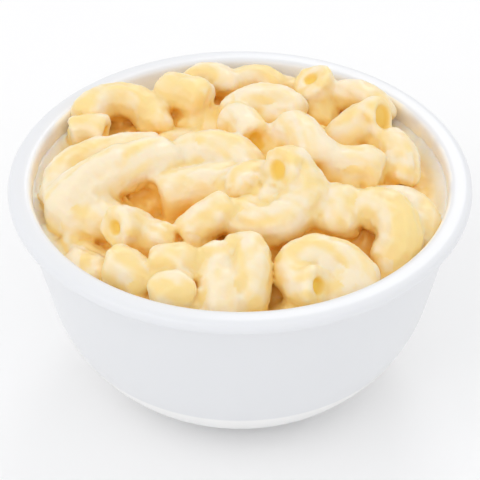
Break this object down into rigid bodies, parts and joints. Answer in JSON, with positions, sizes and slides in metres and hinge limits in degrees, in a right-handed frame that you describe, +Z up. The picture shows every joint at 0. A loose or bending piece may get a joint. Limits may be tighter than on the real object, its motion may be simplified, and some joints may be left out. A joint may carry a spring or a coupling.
{
  "type": "bowl of mac and cheese",
  "caption": "Plain white round bowl with a flared lip, heaped with elbow macaroni in cheese sauce.",
  "frame": {"origin": "centre of the flat foot, on the surface that the bowl stands on", "axes": "+Z up along the bowl's axis, -Y towards the person who eats from it, +X to that person's right"},
  "size_m": [0.12, 0.12, 0.0765],
  "materials": {
    "bowl": "plain white melamine, smooth and softly glossy",
    "macaroni": "cooked elbow macaroni under a creamy, satin cheese sauce"
  },
  "bodies": {
    "root": {"bowl": "bowl", "macaroni": "macaroni"}
  },
  "joints": []
}
